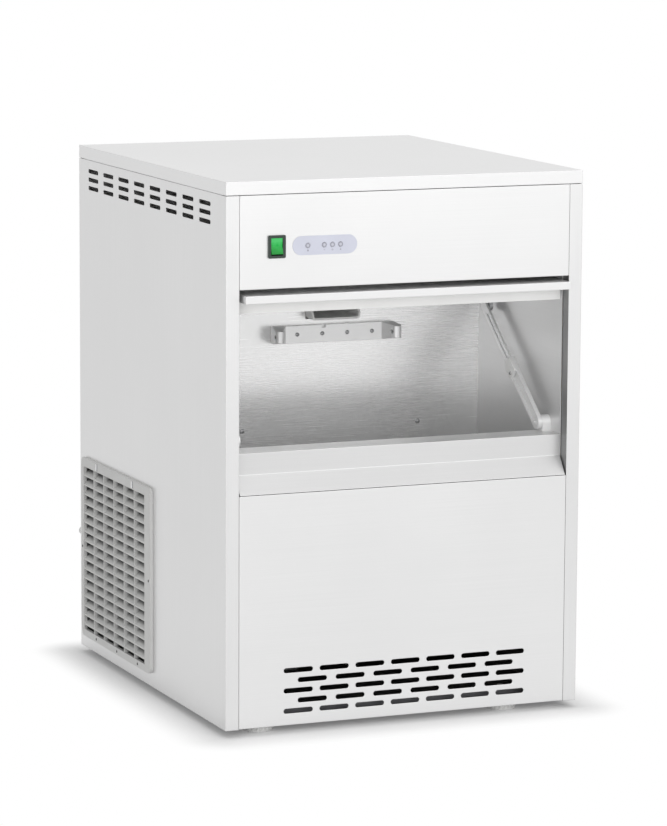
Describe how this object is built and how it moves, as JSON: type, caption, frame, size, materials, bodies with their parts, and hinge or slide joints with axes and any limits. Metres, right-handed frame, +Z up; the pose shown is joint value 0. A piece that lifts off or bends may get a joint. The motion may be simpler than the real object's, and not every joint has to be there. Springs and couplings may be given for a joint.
{
  "type": "flake ice machine",
  "caption": "Stainless cabinet flake ice machine with a front bin, an up-and-over bin door on tracks and stays, auger ice maker, side-grille condenser and levelling feet.",
  "frame": {"origin": "on the floor under the centre of the cabinet's footprint", "axes": "+Z up, the front with the bin faces -Y, +X to the right seen from the front"},
  "size_m": [0.5308, 0.63, 0.755],
  "materials": {
    "steel_front": "bright satin stainless",
    "steel_side": "satin stainless",
    "steel_inner": "mill finish stainless",
    "liner_steel": "satin stainless liner",
    "stay_steel": "zinc-plated steel",
    "screw_steel": "plain steel screw heads",
    "white_plastic": "moulded white",
    "grey_plastic": "moulded grey",
    "grille_plastic": "moulded light grey, fine grain",
    "black_plastic": "moulded black",
    "green_plastic": "translucent green",
    "orange_plastic": "moulded orange",
    "foot_plastic": "moulded off-white",
    "overlay_film": "printed film",
    "lens_plastic": "frosted lens",
    "foam": "rigid foam",
    "foam_black": "closed-cell foam",
    "board": "circuit board",
    "fins": "bare fins",
    "grey_paint": "satin grey",
    "black_paint": "satin black",
    "copper": "copper tube",
    "rubber": "moulded rubber",
    "hose": "flexible grey hose"
  },
  "bodies": {
    "cabinet": {"base_pan": "steel_inner", "left_side_panel": "steel_side", "right_side_panel": "steel_side", "back_panel": "steel_side", "top_cover": "steel_front", "fascia_panel": "steel_front", "lower_front_panel": "steel_front", "bin_sill": "steel_front", "bin_back_wall": "liner_steel", "bin_left_wall": "liner_steel", "bin_right_wall": "liner_steel", "bin_floor": "liner_steel", "bin_front_wall": "liner_steel", "bin_ceiling": "liner_steel", "bin_insulation": "foam", "ice_spout": "white_plastic", "sensor_bracket": "grey_plastic", "sensor_eyes": "black_plastic", "bracket_screws": "screw_steel", "bin_screws": "screw_steel", "switch_bezel": "black_plastic", "indicator_overlay": "overlay_film", "led_lenses": "lens_plastic", "control_board": "board", "door_tracks": "steel_inner", "stay_pivots": "stay_steel", "side_grille": "grille_plastic", "condenser": "fins", "fan_shroud": "grey_paint", "fan_motor": "grey_paint", "compressor": "black_paint", "compressor_mounts": "rubber", "dryer": "copper", "refrigerant_pipes": "copper", "evaporator_jacket": "foam_black", "evaporator_barrel": "steel_inner", "auger_bearing": "grey_paint", "gear_motor": "grey_paint", "motor_stand": "steel_inner", "water_tank": "white_plastic", "water_valve": "white_plastic", "drain_fitting": "grey_plastic", "drain_hose": "hose", "cable_gland": "black_plastic", "rear_bumpers": "foot_plastic"},
    "carriage": {"door_carriage": "steel_inner"},
    "door": {"door_pan": "steel_front", "door_core": "white_plastic"},
    "stay_rail": {"stay_rails": "stay_steel", "stay_blocks": "white_plastic"},
    "stay_slide": {"stay_slides": "stay_steel"},
    "rocker": {"switch_rocker": "green_plastic"},
    "fan": {"fan_blade": "black_plastic"},
    "auger": {"auger": "steel_inner"},
    "float": {"float": "orange_plastic"},
    "foot_front_left": {"foot_front_left": "foot_plastic"},
    "foot_front_right": {"foot_front_right": "foot_plastic"},
    "foot_rear_left": {"foot_rear_left": "foot_plastic"},
    "foot_rear_right": {"foot_rear_right": "foot_plastic"}
  },
  "joints": [
    {"name": "door_slide", "type": "slide", "parent": "cabinet", "child": "carriage", "axis": [0, -1, 0], "range_m": [0, 0.204]},
    {"name": "door_swing", "type": "hinge", "parent": "carriage", "child": "door", "pos_m": [0, -0.082, 0.5891], "axis": [1, 0, 0], "range_deg": [0, 90]},
    {"name": "stay_swing", "type": "hinge", "parent": "cabinet", "child": "stay_rail", "pos_m": [0, -0.242, 0.3981], "axis": [1, 0, 0], "range_deg": [0, 61.5]},
    {"name": "stay_extend", "type": "slide", "parent": "stay_rail", "child": "stay_slide", "axis": [0, 0.7813, 0.6242], "range_m": [-0.0845, 0]},
    {"name": "rocker_tip", "type": "hinge", "parent": "cabinet", "child": "rocker", "pos_m": [-0.1905, -0.297, 0.6666], "axis": [1, 0, 0], "range_deg": [0, 16]},
    {"name": "fan_spin", "type": "hinge", "parent": "cabinet", "child": "fan", "pos_m": [-0.1905, 0.1385, 0.163], "axis": [1, 0, 0], "continuous": true},
    {"name": "auger_spin", "type": "hinge", "parent": "cabinet", "child": "auger", "pos_m": [0.0085, 0.074, 0.4], "axis": [0, 0, 1], "continuous": true},
    {"name": "float_rise", "type": "slide", "parent": "cabinet", "child": "float", "axis": [0, 0, 1], "range_m": [0, 0.045]},
    {"name": "foot_front_left_turn", "type": "hinge", "parent": "cabinet", "child": "foot_front_left", "pos_m": [-0.2005, -0.262, 0.005], "axis": [0, 0, 1], "continuous": true},
    {"name": "foot_front_right_turn", "type": "hinge", "parent": "cabinet", "child": "foot_front_right", "pos_m": [0.1645, -0.262, 0.005], "axis": [0, 0, 1], "continuous": true},
    {"name": "foot_rear_left_turn", "type": "hinge", "parent": "cabinet", "child": "foot_rear_left", "pos_m": [-0.2005, 0.255, 0.005], "axis": [0, 0, 1], "continuous": true},
    {"name": "foot_rear_right_turn", "type": "hinge", "parent": "cabinet", "child": "foot_rear_right", "pos_m": [0.1645, 0.255, 0.005], "axis": [0, 0, 1], "continuous": true}
  ],
  "couplings": [
    {"joint": "door_swing", "follows": "door_slide", "rad_per_m": 7.6995},
    {"joint": "stay_swing", "follows": "door_slide", "rad_per_m": 5.2442},
    {"joint": "stay_extend", "follows": "door_slide", "ratio": -0.41146}
  ]
}
